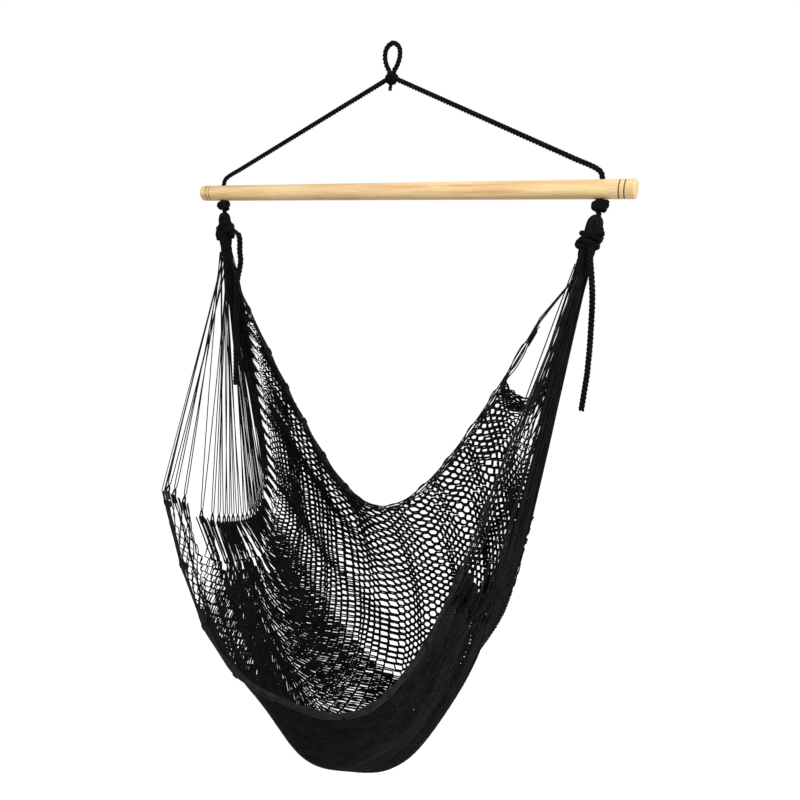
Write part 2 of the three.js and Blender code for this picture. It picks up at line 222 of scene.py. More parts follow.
# Arm strings: up to here on an end line each loop holds three of them, then two, then one
THREE_HOOKS_END = 0.4
TWO_HOOKS_END = 0.53
HOOK_SPACING = 0.0035
HOOK_RISE = 0.0125

# Selvages
EDGE_STATIONS = 261
EDGE_SIDES = 6
TIE_TURNS = 4
TIE_REACH = 0.0042
LONG_TIE_TURNS = 16
LONG_TIE_REACH = 0.0165
# How many segments each selvage has in the solids
CAD_EDGE_STEPS = 65

# Room and light
FLOOR_HALF = 14
FLOOR_Z = -2.05
FLOOR_LIFT = 0.5
WORLD_LIGHT = 0.55

# Free rope tails: offsets in metres from the stopper knot's middle. The stub leads to one from the hitch.
TAILS = {
    "left": {
        "radius": 0.0064,
        "stub": [(0.042, -0.026, -0.052), (0.068, -0.042, -0.058)],
        "route": [
            (0.084, -0.045, -0.066), (0.088, -0.045, -0.072), (0.09, -0.045, -0.086),
            (0.09, -0.045, -0.104), (0.092, -0.044, -0.124), (0.089, -0.044, -0.144),
            (0.084, -0.044, -0.164), (0.082, -0.045, -0.188), (0.082, -0.045, -0.214),
            (0.082, -0.045, -0.242), (0.082, -0.046, -0.27), (0.083, -0.046, -0.3),
            (0.083, -0.046, -0.33), (0.084, -0.046, -0.362), (0.084, -0.046, -0.392),
            (0.084, -0.046, -0.41),
        ],
    },
    "right": {
        "radius": 0.0055,
        "stub": [(-0.006, -0.02, -0.07), (-0.002, -0.028, -0.078)],
        "route": [
            (-0.001, -0.03, -0.086), (0, -0.03, -0.096), (0.003, -0.03, -0.112),
            (0.006, -0.029, -0.132), (0.009, -0.029, -0.154), (0.011, -0.029, -0.178),
            (0.012, -0.029, -0.202), (0.013, -0.029, -0.226), (0.014, -0.03, -0.25),
            (0.014, -0.03, -0.274), (0.014, -0.03, -0.296), (0.013, -0.031, -0.316),
            (0.012, -0.031, -0.334), (0.011, -0.031, -0.35), (0.01, -0.031, -0.364),
        ],
    },
}
SIDES = {"left": -1, "right": 1}
GOLDEN_ANGLE = 2.39996


# Small maths
def mix(low, high, share):
    return low + (high - low) * share


def smoothstep(value, low=0.0, high=1.0):
    share = np.clip((np.asarray(value, float) - low) / (high - low), 0, 1)
    return share * share * (3 - 2 * share)


def unit(vectors):
    vectors = np.asarray(vectors, float)
    return vectors / np.linalg.norm(vectors, axis=-1, keepdims=True)


def spline(points, share):
    """Points on a centripetal Catmull-Rom curve, each stretch between two points taking an equal share."""
    points = np.asarray(points, float)
    count = len(points)
    place = np.clip(np.asarray(share, float), 0, 1) * (count - 1)
    first = np.minimum(place.astype(int), count - 2)
    w = (place - first)[:, None]
    padded = np.vstack([2 * points[0] - points[1], points, 2 * points[-1] - points[-2]])
    a, b, c, d = (padded[first + i] for i in range(4))

    def gap(p, q):
        return np.maximum(((p - q) ** 2).sum(1) ** 0.25, 1e-4)[:, None]

    before, here, after = gap(a, b), gap(b, c), gap(c, d)
    slope_b = ((b - a) / before - (c - a) / (before + here) + (c - b) / here) * here
    slope_c = ((c - b) / here - (d - b) / (here + after) + (d - c) / after) * here
    bend = -3 * b + 3 * c - 2 * slope_b - slope_c
    twist = 2 * b - 2 * c + slope_b + slope_c
    return b + slope_b * w + bend * w**2 + twist * w**3


def travelled(path):
    steps = np.linalg.norm(np.diff(path, axis=0), axis=1)
    return np.concatenate([[0], np.cumsum(steps)])


def smooth_path(points, step=ROPE_STEP):
    """A smooth curve through the points, sampled at even steps."""
    fine = spline(points, np.linspace(0, 1, 40 * len(points)))
    along = travelled(fine)
    count = max(int(along[-1] / step), 4)
    places = np.linspace(0, along[-1], count + 1)
    return np.stack([np.interp(places, along, fine[:, i]) for i in range(3)], axis=1)


# Round cords, gathered into one mesh
def across_vectors(path, up):
    """Two unit vectors square to a path at each point. Without up they never twist about it."""
    tangent = unit(np.gradient(path, axis=0))
    if up is None:
        first = np.eye(3)[np.argmin(np.abs(tangent[0]))]
        carried = np.empty_like(tangent)
        for i, direction in enumerate(tangent):
            first = first - direction * first.dot(direction)
            first = first / math.sqrt(first.dot(first))
            carried[i] = first
        up = carried
    side = unit(np.cross(tangent, up))
    return side, np.cross(side, tangent)


class Cords:
    """Closed tubes that become one mesh object."""

    def __init__(self):
        self.rings = []
        self.faces = []
        self.maps = []
        self.count = 0

    def add(self, path, radius, sides, up=None):
        path = np.asarray(path, float)
        side, over = across_vectors(path, up)
        angle = 2 * np.pi * np.arange(sides) / sides
        radius = np.broadcast_to(radius, len(path))[:, None, None]
        ring = np.cos(angle)[None, :, None] * side[:, None] + np.sin(angle)[None, :, None] * over[:, None]
        points = path[:, None] + radius * ring
        start = self.count
        length = len(path)
        self.rings.append(points.reshape(-1, 3))
        self.count += length * sides
        row = np.arange(length - 1)[:, None] * sides
        here = np.arange(sides)[None, :]
        after = (here + 1) % sides
        quads = np.stack([row + here, row + after, row + sides + after, row + sides + here], -1)
        self.faces.extend((quads.reshape(-1, 4) + start).tolist())
        self.faces.append(list(range(start + sides - 1, start - 1, -1)))
        last = start + (length - 1) * sides
        self.faces.append(list(range(last, last + sides)))

    def build(self, name, material):
        mesh = bpy.data.meshes.new(name)
        mesh.from_pydata(np.concatenate(self.rings).tolist(), [], self.faces)
        mesh.polygons.foreach_set("use_smooth", [True] * len(mesh.polygons))
        mesh.materials.append(material)
        mesh.update()
        piece = bpy.data.objects.new(name, mesh)
        bpy.context.scene.collection.objects.link(piece)
        return piece


def add_rope(cords, points, radius=ROPE_RADIUS, start_angle=0.0):
    """A rope of three strands laid round each other along the points."""
    path = smooth_path(points)
    side, over = across_vectors(path, None)
    angle = start_angle + 2 * np.pi * travelled(path) / (LAY_LENGTH * radius / ROPE_RADIUS)
    for strand in range(LAY_STRANDS):
        turn = (angle + 2 * np.pi * strand / LAY_STRANDS)[:, None]
        outward = np.cos(turn) * side + np.sin(turn) * over
        cords.add(path + outward * radius * HELIX_SHARE, radius * STRAND_SHARE, STRAND_SIDES, outward)
    return path


def add_bundle(cords, path, count, string_radius, spread, twist=0.0):
    """Strings side by side along a path, packed in a round of the given radius at each point."""
    side, over = across_vectors(path, None)
    spread = np.broadcast_to(spread, len(path))
    turned = twist * travelled(path)
    for i in range(count):
        out = spread * math.sqrt((i + 0.5) / count)
        angle = GOLDEN_ANGLE * i + turned
        offset = (out * np.cos(angle))[:, None] * side + (out * np.sin(angle))[:, None] * over
        cords.add(path + offset, string_radius, STRING_SIDES)


# Materials
def new_material(name):
    material = bpy.data.materials.new(name)
    material.use_nodes = True
    tree = material.node_tree
    return material, tree, tree.nodes["Principled BSDF"]


def node(tree, kind, **inputs):
    made = tree.nodes.new(kind)
    for key, value in inputs.items():
        made.inputs[key.replace("_", " ")].default_value = value
    return made


def ramp_node(tree, low, low_colour, high, high_colour):
    """A ramp from one colour to another between two places."""
    made = tree.nodes.new("ShaderNodeValToRGB")
    ends = made.color_ramp.elements
    ends[0].position, ends[1].position = low, high
    ends[0].color, ends[1].color = (*low_colour, 1), (*high_colour, 1)
    return made


def math_node(tree, operation, *values):
    """A Math node with values for its second socket and the ones after it."""
    made = tree.nodes.new("ShaderNodeMath")
    made.operation = operation
    for i, value in enumerate(values, 1):
        made.inputs[i].default_value = value
    return made


def mix_node(tree, blend):
    """A colour Mix node. Its colours are sockets 6 and 7 and its result is socket 2."""
    made = tree.nodes.new("ShaderNodeMix")
    made.data_type = "RGBA"
    made.blend_type = blend
    return made


def cotton(name, dark, light, sheen, fibre_scale):
    """Black cotton: slow fading between two near blacks, a fibre bump and a dusty sheen."""
    material, tree, shader = new_material(name)
    place = tree.nodes.new("ShaderNodeTexCoord")
    slow = node(tree, "ShaderNodeTexNoise", Scale=38.0, Detail=4.0, Roughness=0.6)
    ramp = ramp_node(tree, 0.35, dark, 0.7, light)
    fibre = node(tree, "ShaderNodeTexNoise", Scale=fibre_scale, Detail=3.0, Roughness=0.7)
    bump = node(tree, "ShaderNodeBump", Strength=0.5, Distance=0.0004)
    link = tree.links.new
    link(place.outputs["Object"], slow.inputs["Vector"])
    link(place.outputs["Object"], fibre.inputs["Vector"])
    link(slow.outputs["Fac"], ramp.inputs["Fac"])
    link(ramp.outputs["Color"], shader.inputs["Base Color"])
    link(fibre.outputs["Fac"], bump.inputs["Height"])
    link(bump.outputs["Normal"], shader.inputs["Normal"])
    shader.inputs["Roughness"].default_value = 0.85
    shader.inputs["Specular IOR Level"].default_value = 0.06
    shader.inputs["Sheen Weight"].default_value = sheen
    shader.inputs["Sheen Roughness"].default_value = 0.5
    shader.inputs["Sheen Tint"].default_value = (0.6, 0.68, 0.72, 1)
    return material


def wood(name):
    """Pale turned hardwood: long grain streaks, fine pores and two burnt grooves at each end."""
    material, tree, shader = new_material(name)
    link = tree.links.new
    place = tree.nodes.new("ShaderNodeTexCoord")

    def grain(scale, noise_scale, detail):
        mapping = node(tree, "ShaderNodeMapping", Scale=scale)
        noise = node(tree, "ShaderNodeTexNoise", Scale=noise_scale, Detail=detail, Roughness=0.6)
        link(place.outputs["Object"], mapping.inputs["Vector"])
        link(mapping.outputs["Vector"], noise.inputs["Vector"])
        return noise.outputs["Fac"]

    streaks = grain((1.2, 26, 26), 4.0, 5.0)
    pores = grain((14, 420, 420), 2.0, 3.0)
    ramp = ramp_node(tree, 0.3, (0.62, 0.37, 0.15), 0.62, (0.84, 0.61, 0.32))
    link(streaks, ramp.inputs["Fac"])
    pore_ramp = ramp_node(tree, 0.3, (0.8, 0.8, 0.8), 0.5, (1, 1, 1))
    link(pores, pore_ramp.inputs["Fac"])
    grained = mix_node(tree, "MULTIPLY")
    grained.inputs["Factor"].default_value = 1
    link(ramp.outputs["Color"], grained.inputs[6])
    link(pore_ramp.outputs["Color"], grained.inputs[7])

    split = tree.nodes.new("ShaderNodeSeparateXYZ")
    link(place.outputs["Object"], split.inputs["Vector"])
    colour = grained.outputs[2]
    for inset in GROOVE_INSETS:
        distance = math_node(tree, "ABSOLUTE")
        link(split.outputs["X"], distance.inputs[0])
        burnt = math_node(tree, "COMPARE", BAR_HALF - inset, GROOVE_HALF_WIDTH)
        link(distance.outputs[0], burnt.inputs[0])
        marked = mix_node(tree, "MIX")
        marked.inputs[7].default_value = (0.06, 0.03, 0.013, 1)
        link(burnt.outputs[0], marked.inputs["Factor"])
        link(colour, marked.inputs[6])
        colour = marked.outputs[2]
    link(colour, shader.inputs["Base Color"])
    bump = node(tree, "ShaderNodeBump", Strength=0.25, Distance=0.0005)
    link(pores, bump.inputs["Height"])
    link(bump.outputs["Normal"], shader.inputs["Normal"])
    shader.inputs["Roughness"].default_value = 0.48
    return material


ROPE_COTTON = cotton("rope_cotton", (0.0016, 0.0017, 0.0019), (0.0065, 0.007, 0.0076), 0.02, 1400.0)
NET_COTTON = cotton("net_cotton", (0.0026, 0.0029, 0.003), (0.0095, 0.0105, 0.011), 0.02, 1800.0)
# The selvages are the same black cotton as the net; their lighter base colours are painted sheen.
EDGE_COTTON_PAINTED_SHEEN = cotton("edge_cotton_painted_sheen", (0.007, 0.0078, 0.008), (0.02, 0.022, 0.0225), 0.08, 1600.0)
BAR_WOOD = wood("bar_wood")


def finish_piece(piece, body, slot, *nodes):
    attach(piece, body)
    if nodes:
        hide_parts(*nodes)
    return piece


# Camera
def make_camera():
    data = bpy.data.cameras.new("camera")
    data.lens = FOCAL_LENGTH
    data.sensor_width = SENSOR_WIDTH
    data.clip_end = 60
    camera = bpy.data.objects.new("camera", data)
    camera.matrix_world = (
        Matrix.Translation(CAMERA_PLACE)
        @ Matrix.Rotation(math.radians(CAMERA_TURN), 4, "Z")
        @ Matrix.Rotation(math.radians(90 + CAMERA_PITCH), 4, "X")
        @ Matrix.Rotation(math.radians(CAMERA_ROLL), 4, "Z")
    )
    bpy.context.scene.collection.objects.link(camera)
    bpy.context.scene.camera = camera


# Free rope tails
def stopper_centre(side):
    return np.array([side * HOLE_X, 0, STOPPER_Z])


def make_tail(name, side):
    centre = stopper_centre(side)
    points = [centre + p for p in TAILS[name]["route"]]
    cords = Cords()
    radius = TAILS[name]["radius"]
    path = add_rope(cords, points, radius=radius)
    piece = cords.build("rope_end_" + name, ROPE_COTTON)
    finish_piece(piece, "tail_" + name, "rope", "rope_tail_" + name)


# Top loop, crown knot and bridle ropes
def make_hanging_loop():
    legs = [
        [(side * across * LOOP_HALF_WIDTH, 0, -down * KNOT_DROP) for across, down in LOOP_SHARES]
        for side in (-1, 1)
    ]
    foot = KNOT_DROP - KNOT_RADIUS / 2
    left_foot, right_foot = (-ROPE_RADIUS, 0, -foot), (ROPE_RADIUS, 0, -foot)
    cords = Cords()
    add_rope(cords, [left_foot, *legs[0], (0, 0, ROPE_RADIUS), *legs[1][::-1], right_foot])
    finish_piece(cords.build("loop_rope", ROPE_COTTON), "hanger", "rope", "hanging_loop")


def knot_path(centre, half_sizes, start):
    """A three-lobed knot's path that fills a box of the given half sizes."""
    half_x, half_y, half_z = half_sizes
    t = start + np.linspace(0, 2 * np.pi, 61)
    lobe = (1 + 0.55 * np.cos(3 * t)) / 1.55
    offsets = [half_x * lobe * np.cos(2 * t), half_y * np.sin(3 * t), half_z * lobe * np.sin(2 * t)]
    return np.asarray(centre) + np.stack(offsets, axis=1)


def make_crown_knot():
    centre = (0, 0, -KNOT_DROP)
    cords = Cords()
    for half_sizes, start in CROWN_PATHS:
        add_rope(cords, knot_path(centre, half_sizes, start))
    finish_piece(cords.build("crown_knot", ROPE_COTTON), "knot", "rope", "top_knot")
    tail = Cords()
    drop = KNOT_DROP + KNOT_RADIUS / 2
    add_rope(tail, [(x, y, z - drop) for x, y, z in CROWN_TAIL], radius=CROWN_TAIL_RADIUS)
    finish_piece(tail.build("crown_knot_end", ROPE_COTTON), "knot", "rope", "top_knot_tail")


def make_bridle(name, side):
    top = BAR_AXIS + BAR_RADIUS
    rise = -KNOT_DROP - top
    angle = math.atan2(HOLE_X, rise)
    points = [(side * HOLE_X, 0, height) for height in (STOPPER_Z + 0.004, BAR_AXIS, top)]
    for share in (0.5, 1):
        turn = share * angle
        inward = BRIDLE_BEND * (1 - math.cos(turn))
        points.append((side * (HOLE_X - inward), 0, top + BRIDLE_BEND * math.sin(turn)))
    last = np.array(points[-1])
    goal = np.array([side * 0.004, 0, -KNOT_DROP])
    for share in (0.1, 0.35, 0.65, 1):
        points.append(tuple(mix(last, goal, share)))
    cords = Cords()
    add_rope(cords, points, start_angle=0.7 * side)
    finish_piece(cords.build("bridle_" + name, ROPE_COTTON), "bridle", "rope", "bridle_rope_" + name)


def make_stopper(name, side):
    cords = Cords()
    centre = stopper_centre(side)
    add_rope(cords, knot_path(centre + (0, 0, STOPPER_LIFT), STOPPER_HALF_SIZES, 0.4 + side))
    wound = []
    for i in range(WOUND_STEPS + 1):
        angle = 2 * math.pi * i / COIL_STEPS
        x = mix(*WOUND_HALF_X, i / WOUND_STEPS) * math.cos(angle)
        z = mix(*WOUND_HEIGHTS, i / WOUND_STEPS)
        wound.append(centre + (x, WOUND_HALF_Y * math.sin(angle), z))
    add_rope(cords, wound)
    finish_piece(cords.build("stopper_" + name, ROPE_COTTON), "bridle", "rope", "stopper_knot_" + name)


# Arm necks
def neck_axes(side):
    lean_in, lean_forward, rise = NECK_LEAN
    down = unit((-side * lean_in, -lean_forward, -rise))
    across = unit(np.cross(down, (0, 1, 0))) * -1
    front = np.cross(across, down)
    return down, across, front


def on_neck(side, station, out=0.0, angle=0.0):
    """A point beside the neck's axis. Angle 0 is along the bar, towards the left arm."""
    down, across, front = neck_axes(side)
    place = stopper_centre(side) + down * station
    return place + out * (math.cos(angle) * across + math.sin(angle) * front)


def make_hitch(name, side):
    """The rope from the stopper knot, wound round the arm's eye, and a tilted turn over that."""
    cords = Cords()
    points = [on_neck(side, station, out, math.pi) for station, out in HITCH_LEAD]
    for i in range(HITCH_STEPS + 1):
        share = i / HITCH_STEPS
        angle = math.pi + 2 * math.pi * HITCH_TURNS * share
        station = HITCH_TOP + 0.004 + 0.03 * share
        points.append(on_neck(side, station, HITCH_OUT + 0.0012 * math.sin(2.3 * angle), angle))
    centre = stopper_centre(side)
    points += [centre + p for p in TAILS[name]["stub"]]
    points.append(centre + TAILS[name]["route"][0])
    add_rope(cords, points)
    tilted = []
    for i in range(TILTED_STEPS + 1):
        angle = 2 * math.pi * i / TILTED_STEPS
        station = HITCH_TOP + 0.019 + 0.015 * math.cos(angle + 0.6)
        tilted.append(on_neck(side, station, TILTED_OUT + 0.0015 * math.cos(3 * angle), angle))
    add_rope(cords, tilted)
    piece = cords.build("hitch_" + name, ROPE_COTTON)
    finish_piece(piece, "seat", "rope", "neck_rope_" + name, "hitch_knot_" + name)


def make_eye(name, side):
    """The loop of bundled strings over the hitch, and the whipped neck under it."""
    cords = Cords()
    dome = [on_neck(side, EYE_FOOT, EYE_LEG_OUT, math.pi)]
    for i in range(COIL_STEPS + 1):
        angle = math.pi * i / COIL_STEPS
        station = EYE_TOP + 0.0155 - EYE_RISE * math.sin(angle)
        dome.append(on_neck(side, station, EYE_LEG_OUT * math.cos(angle), math.pi))
    dome.append(on_neck(side, EYE_FOOT, -EYE_LEG_OUT, math.pi))
    add_bundle(cords, smooth_path(dome, 0.003), EYE_STRINGS, EYE_STRING_RADIUS, EYE_SPREAD)
    neck = smooth_path([on_neck(side, station) for station in NECK_STATIONS], 0.004)
    along = travelled(neck) / travelled(neck)[-1]
    spread = NECK_SPREAD - NECK_WAIST * smoothstep(along, 0.5, 0.82)
    spread = spread + NECK_WAIST * smoothstep(along, 0.88, 1)
    add_bundle(cords, neck, NECK_STRINGS, NECK_STRING_RADIUS, spread, twist=6)
    finish_piece(cords.build("eye_" + name, NET_COTTON), "seat", "rope", "arm_eye_" + name)
    band = Cords()
    points = []
    for i in range(WHIPPING_STEPS + 1):
        share = i / WHIPPING_STEPS
        station = WHIPPING_START + WHIPPING_LENGTH * share
        points.append(on_neck(side, station, WHIPPING_OUT, 2 * math.pi * WHIPPING_TURNS * share))
    band.add(smooth_path(points, 0.0015), THREAD_RADIUS, EDGE_SIDES)
    finish_piece(band.build("whipping_" + name, NET_COTTON), "seat", "rope", "arm_whipping_" + name)


# Seat surface
END_LINE = np.array(END_LINE_SHARES) * (SEAT_HALF_WIDTH, SEAT_REACH, -SEAT_DROP)
MIDDLE_LINE = np.array(MIDDLE_SHARES) * (1, SEAT_REACH, -SEAT_DROP)


def seat_point(across, down):
    across, down = np.broadcast_arrays(np.asarray(across, float), np.asarray(down, float))
    shape = across.shape
    across, down = across.ravel(), down.ravel()
    end, middle = spline(END_LINE, down), spline(MIDDLE_LINE, down)
    out = np.abs(across)
    bottom = np.sin(np.pi * np.clip(down, 0, 1))
    back_rise = (np.hypot(out, BACK_SAG) - BACK_SAG) / (math.hypot(1, BACK_SAG) - BACK_SAG)
    front_rise = out ** (FRONT_SAG - (FRONT_SAG - BOTTOM_SAG) * bottom**2)
    rise = mix(back_rise, front_rise, smoothstep(down, 0, OPEN_SIDE))
    bulge = SIDE_BULGE * SEAT_REACH * 4 * out**2 * (1 - out) * bottom
    x = across * end[:, 0]
    y = mix(middle[:, 1], end[:, 1], out**FORWARD_POWER) + bulge
    z = BAR_AXIS + mix(middle[:, 2], end[:, 2], rise)
    return np.stack([x, y, z], axis=1).reshape(*shape, 3)


def seat_directions(across, down):
    """Unit vectors along a string, along the girth, and out of the seat."""
    left, right = np.maximum(across - SLOPE_STEP, -1), np.minimum(across + SLOPE_STEP, 1)
    before, after = np.maximum(down - SLOPE_STEP, 0), np.minimum(down + SLOPE_STEP, 1)
    along = unit(seat_point(right, down) - seat_point(left, down))
    girth = unit(seat_point(across, after) - seat_point(across, before))
    return along, girth, unit(np.cross(along, girth))


def fold_offset(across, down):
    """The solids' deep pleats, almost flat in the middle of the back, finer ones, and what is drawn in."""
    out = np.abs(across)
    girth = np.clip(down, 0, 1)
    middle = mix(0.05, MIDDLE_FOLD, smoothstep(girth, 0.35, 0.6))
    gathered = mix(middle, 1, out**3) * (1 - out**FOLD_END_POWER)
    edge_fade = np.sqrt(np.clip(np.sin(np.pi * girth), 0, 1))
    deep = FOLD_DEPTH * np.sin(2 * np.pi * FOLD_COUNT * down)
    fine = 0.005 * out * np.sin(2 * np.pi * (17 * down + 0.5 * np.sin(3 * across)) + 1.3)
    finer = 0.0025 * out * np.sin(2 * np.pi * (41 * down + 0.8 * across) + 0.4)
    low_front = np.sin(np.pi * smoothstep(girth, 0.62, 1.04))
    corner = low_front * np.sin(np.pi * smoothstep(np.hypot(across, 0.1), -0.05, 0.85))
    right = np.sin(np.pi * smoothstep(girth, 0.3, 0.9)) * np.sin(np.pi * smoothstep(across, 0.2, 1.1))
    return (deep + fine + finer) * gathered * edge_fade - CORNER_DRAW * corner - RIGHT_DRAW * right


# Net
def soft_noise(seed, rows, columns, row_step, column_step):
    """Smooth random heights, about -1 to 1, one for each string and station."""
    coarse = np.random.default_rng(seed).uniform(-1, 1, (rows // row_step + 3, columns // column_step + 3))

    def spread(values, count, step):
        place = np.arange(count) / step
        low = place.astype(int)
        share = smoothstep(place - low)
        return values[low] * (1 - share)[:, None] + values[low + 1] * share[:, None]

    return spread(spread(coarse, rows, row_step).T, columns, column_step).T


def string_numbers():
    """The strings' numbers. Those below zero start at the back selvage, beside its middle."""
    last = int(string_number(np.array([0.0]), np.array([NET_END]))[0])
    return np.arange(-max(SIDE_STRINGS.values()), last + 1)


def girth_length(low, high):
    return travelled(seat_point(0, np.linspace(low, high, 201)))[-1]


def string_number(across, down):
    """Which string passes a place on the seat."""
    gap = RIGHT_FIRST_LOOP * smoothstep(across, RIGHT_GAP_START, 0.98)
    down = down - gap * np.maximum(1 - down / OPEN_END, 0)
    stations = np.linspace(NET_START, OPEN_END, 201)
    pitch = np.interp(stations, np.linspace(NET_START, OPEN_END, len(OPEN_PITCHES)), OPEN_PITCHES)
    step = girth_length(NET_START, OPEN_END) / 200
    passed = np.concatenate([[0], np.cumsum(step * (1 / pitch[1:] + 1 / pitch[:-1]) / 2)])
    before = (down - NET_START) * passed[1] / passed[-1] / (stations[1] - stations[0])
    share = np.where(down < NET_START, before, np.interp(down, stations, passed / passed[-1]))
    out = np.minimum(np.abs(across), np.where(across < 0, 1, RIGHT_GAP_START))
    rise = (np.hypot(out, BACK_SAG) - BACK_SAG) / (math.hypot(1, BACK_SAG) - BACK_SAG)
    more = np.where(across < 0, SIDE_STRINGS["left"], SIDE_STRINGS["right"]) * rise
    close_share = np.maximum(down - OPEN_END, 0) / (NET_END - OPEN_END)
    close = close_share * girth_length(OPEN_END, NET_END) / CLOSE_PITCH
    return (passed[-1] + more) * share - more + close


def column_stations():
    """The wave's stations, eight to a period: places across, heights, rung middles, nearness to a turn."""
    stations = np.array([0, 0.21, 0.43, 0.465, 0.5, 0.71, 0.93, 0.965])
    heights = np.array([1, 1, 1, 0, -1, -1, -1, 0])
    middles = np.array([1, 1, 1, 3, 5, 5, 5, 7])
    turns = np.array([0.6, 0, 0.6, 1, 0.6, 0, 0.6, 1])
    periods = np.arange(NET_PERIODS)[:, None]
    places = (periods + stations[None, :]).ravel()
    rung_middles = (periods * PERIOD_STATIONS + middles[None, :]).ravel()
    heights = np.tile(heights, NET_PERIODS)
    columns = np.interp(np.append(places, NET_PERIODS), (0, LEFT_PERIODS, NET_PERIODS), (-1, 0, 1))
    turns = np.append(np.tile(turns, NET_PERIODS), 1)
    return columns, np.append(heights, 1), np.append(rung_middles, len(places)), turns


def even_columns(columns, levels):
    """Seat places across for the net's columns at each level: of given widths on the back, else even."""
    wanted = np.tile(columns, (len(levels), 1))
    # Columns stand closer in some streaks than in others.
    bunch = 0.014 * np.sin(2 * np.pi * (4.3 * wanted + 0.8 * levels[:, None]) + 0.6)
    bunch += 0.004 * np.sin(2 * np.pi * (9.1 * wanted - 1.7 * levels[:, None]) + 2.2)
    wanted = wanted + bunch * (1 - wanted**4)
    fine = np.linspace(-1, 1, 321)
    middles = (fine[1:] + fine[:-1]) / 2
    placed = np.empty_like(wanted)
    for i, level in enumerate(levels):
        steps = np.linalg.norm(np.diff(seat_point(fine, np.full_like(fine, level)), axis=0), axis=1)
        width = np.interp(middles, WIDTH_PLACES, COLUMN_WIDTHS)
        width = mix(width, 1, smoothstep(level, 0.3, 0.5))
        share = np.concatenate([[0], np.cumsum(steps / width)])
        half = np.interp(0, fine, share)
        share = np.where(fine < 0, share / half - 1, (share - half) / (share[-1] - half))
        placed[i] = np.interp(wanted[i], share, fine)
    return placed


def net_places(numbers, columns):
    """Where every string crosses every column: its place across and down."""
    levels = np.linspace(0, 1, 101)
    across = even_columns(columns, levels)
    fine = np.linspace(-0.5, 1, 751)
    places = np.empty((2, len(numbers), len(columns)))
    for j in range(len(columns)):
        here = np.interp(fine, levels, across[:, j])
        down = np.interp(numbers, string_number(here, fine), fine)
        places[:, :, j] = np.interp(down, fine, here), down
    return places


def height_slope(across, down):
    """How the seat's height changes round the girth."""
    down = np.clip(down, SLOPE_STEP, 1 - SLOPE_STEP)
    across = np.clip(across, SLOPE_STEP - 1, 1 - SLOPE_STEP)
    rise = seat_point(across, down + SLOPE_STEP) - seat_point(across, down - SLOPE_STEP)
    return rise[..., 2] / (2 * SLOPE_STEP)


def gather_to_loops(down, columns, side):
    """Near an end line the strings gather into its end loops. Also says which loop each string goes to."""
    ends = down[:, 0 if side < 0 else -1]
    loops = np.array(side_places(side))
    group = np.abs(ends[:, None] - loops[None, :]).argmin(axis=1)
    out = side * columns[None, :]
    begin = mix(0.62 if side > 0 else 0.8, 0.8, smoothstep(ends, 0.02, 0.14)[:, None])
    full = 0.985
    strength = 0.97
    if side < 0:
        hanging = smoothstep(ends, 0.5, 0.56) * (1 - smoothstep(ends, 0.74, 0.84))
        full = mix(full, 0.9, hanging)[:, None]
        begin = mix(begin, 0.7, hanging[:, None])
        strength = mix(0.97, 0.72, hanging * (1 - smoothstep(ends, 0.62, 0.7)))[:, None]
    gather = strength * smoothstep((out - begin) / (full - begin)) ** 1.5
    gather = np.where(out > 0, gather, 0)
    return mix(down, loops[group][:, None], gather), group, gather


def crowd(down, columns):
    """Crowds the strings into bands and leaves open ones between them."""
    out = np.abs(columns)[None, :]
    shift = mix(0.0015, 0.009, out**1.5) * np.sin(2 * np.pi * 7 * down + 0.8)
    shift += mix(0.001, 0.0035, out) * np.sin(2 * np.pi * (13 * down + 0.7 * columns[None, :]) + 2.0)
    shift *= 1 - 0.7 * smoothstep(down, 0.38, 0.46) * (1 - smoothstep(down, 0.62, 0.7))
    shift += 0.002 * soft_noise(2, *down.shape, 3, 12)
    return down + shift * np.sqrt(np.sin(np.pi * np.clip(down, 0, 1)))


def level_rungs(across, down, columns, rung_middles, free):
    """Turns each rung about its middle, so that it lies more level than its string."""
    places = seat_point(across, np.clip(down, 0, 1))
    along = np.gradient(places[..., 2] - RUNG_TILT * places[..., 0], axis=1) / np.gradient(across, axis=1)
    round_girth = height_slope(across, down)
    turn = -RUNG_LEVEL * along * round_girth / (round_girth**2 + 0.5**2)
    fade = 1 - smoothstep(np.abs(columns)[None, :], 0.8, 0.94)
    return down + turn * (across - across[:, rung_middles]) * fade * free


def swing_strings(numbers, down, columns, heights, free):
    """Swings each string to its neighbour on one side, then to the one on the other."""
    padded = np.vstack([2 * down[:1] - down[1:2], down, 2 * down[-1:] - down[-2:-1]])
    sign = np.where(numbers % 2 == 0, 1.0, -1.0)[:, None]
    swing = sign * heights[None, :] * (1 - smoothstep(np.abs(columns)[None, :], 0.94, 0.98)) * free
    gap = np.where(swing > 0, padded[2:] - down, down - padded[:-2])
    reach = np.maximum(gap / 2 - 0.4 * STRING_RADIUS / GIRTH, 0)
    close = smoothstep(down, OPEN_END - 0.04, OPEN_END + 0.04)
    lacy = smoothstep(down, LACY_START - 0.03, LACY_START + 0.05) * smoothstep(-columns[None, :], 0.2, 0.5)
    close *= 1 - lacy
    down = down + swing * reach * mix(1, 0.2, close)
    return down + close * free * 0.0011 * soft_noise(11, *down.shape, 1, 1), swing


